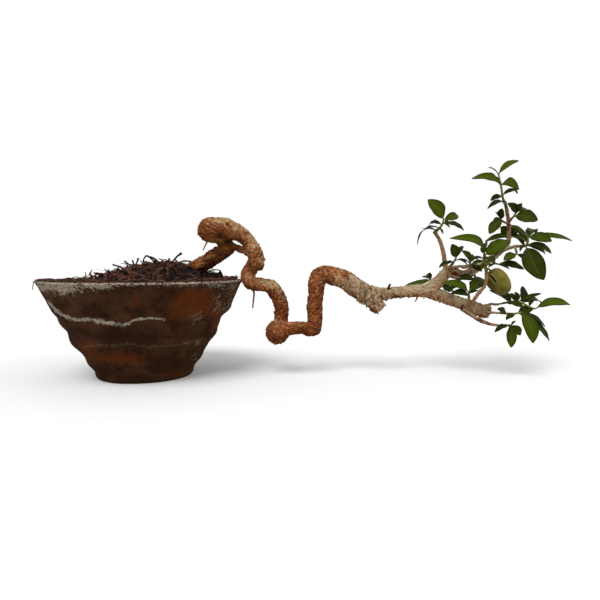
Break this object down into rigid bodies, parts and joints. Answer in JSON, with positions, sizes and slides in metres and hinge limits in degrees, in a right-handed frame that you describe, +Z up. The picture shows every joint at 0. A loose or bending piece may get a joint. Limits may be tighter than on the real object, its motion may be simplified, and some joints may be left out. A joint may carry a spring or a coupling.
{
  "type": "potted bonsai",
  "caption": "Cascade-trained Barbados cherry bonsai: knotted trunk leaning out of a ridged round clay bowl to a leafy crown with an unripe fruit.",
  "frame": {"origin": "centre of the flat foot that the bowl stands on", "axes": "+Z up along the bowl's axis, +X level from the bowl towards the crown, which reaches out on that side; +Y to the back"},
  "size_m": [0.5235, 0.1921, 0.2108],
  "materials": {
    "fired_clay": "unglazed hand-ridged brown clay with rust patches and pale mineral bands",
    "potting_soil": "dark crumbly potting soil",
    "root_fibre": "matted dark red-brown roots and fibre",
    "plastic_mesh": "thin dark drainage mesh",
    "bark": "rough bark, rust brown near the roots and flaky grey-tan further out",
    "leaf": "semi-gloss deep green leaves with pale midribs, and green young stems",
    "fruit_skin": "smooth olive-yellow unripe skin"
  },
  "bodies": {
    "root": {"pot": "fired_clay", "drain_screen": "plastic_mesh", "soil": "potting_soil", "root_mat": "root_fibre", "trunk": "bark", "fruit": "fruit_skin", "shoot_behind": "leaf", "shoot_crotch": "leaf", "shoot_crown": "leaf", "shoot_crown_left": "leaf", "shoot_crown_right": "leaf", "shoot_front": "leaf", "shoot_inner_low": "leaf", "shoot_inner_right": "leaf", "shoot_left_back": "leaf", "shoot_left_low": "leaf", "shoot_left_tip": "leaf", "shoot_lower_right": "leaf", "shoot_lower_tip": "leaf", "shoot_lower_upper": "leaf", "shoot_right": "leaf", "shoot_right_under": "leaf", "shoot_under": "leaf", "shoot_upper_fan": "leaf"}
  },
  "joints": []
}
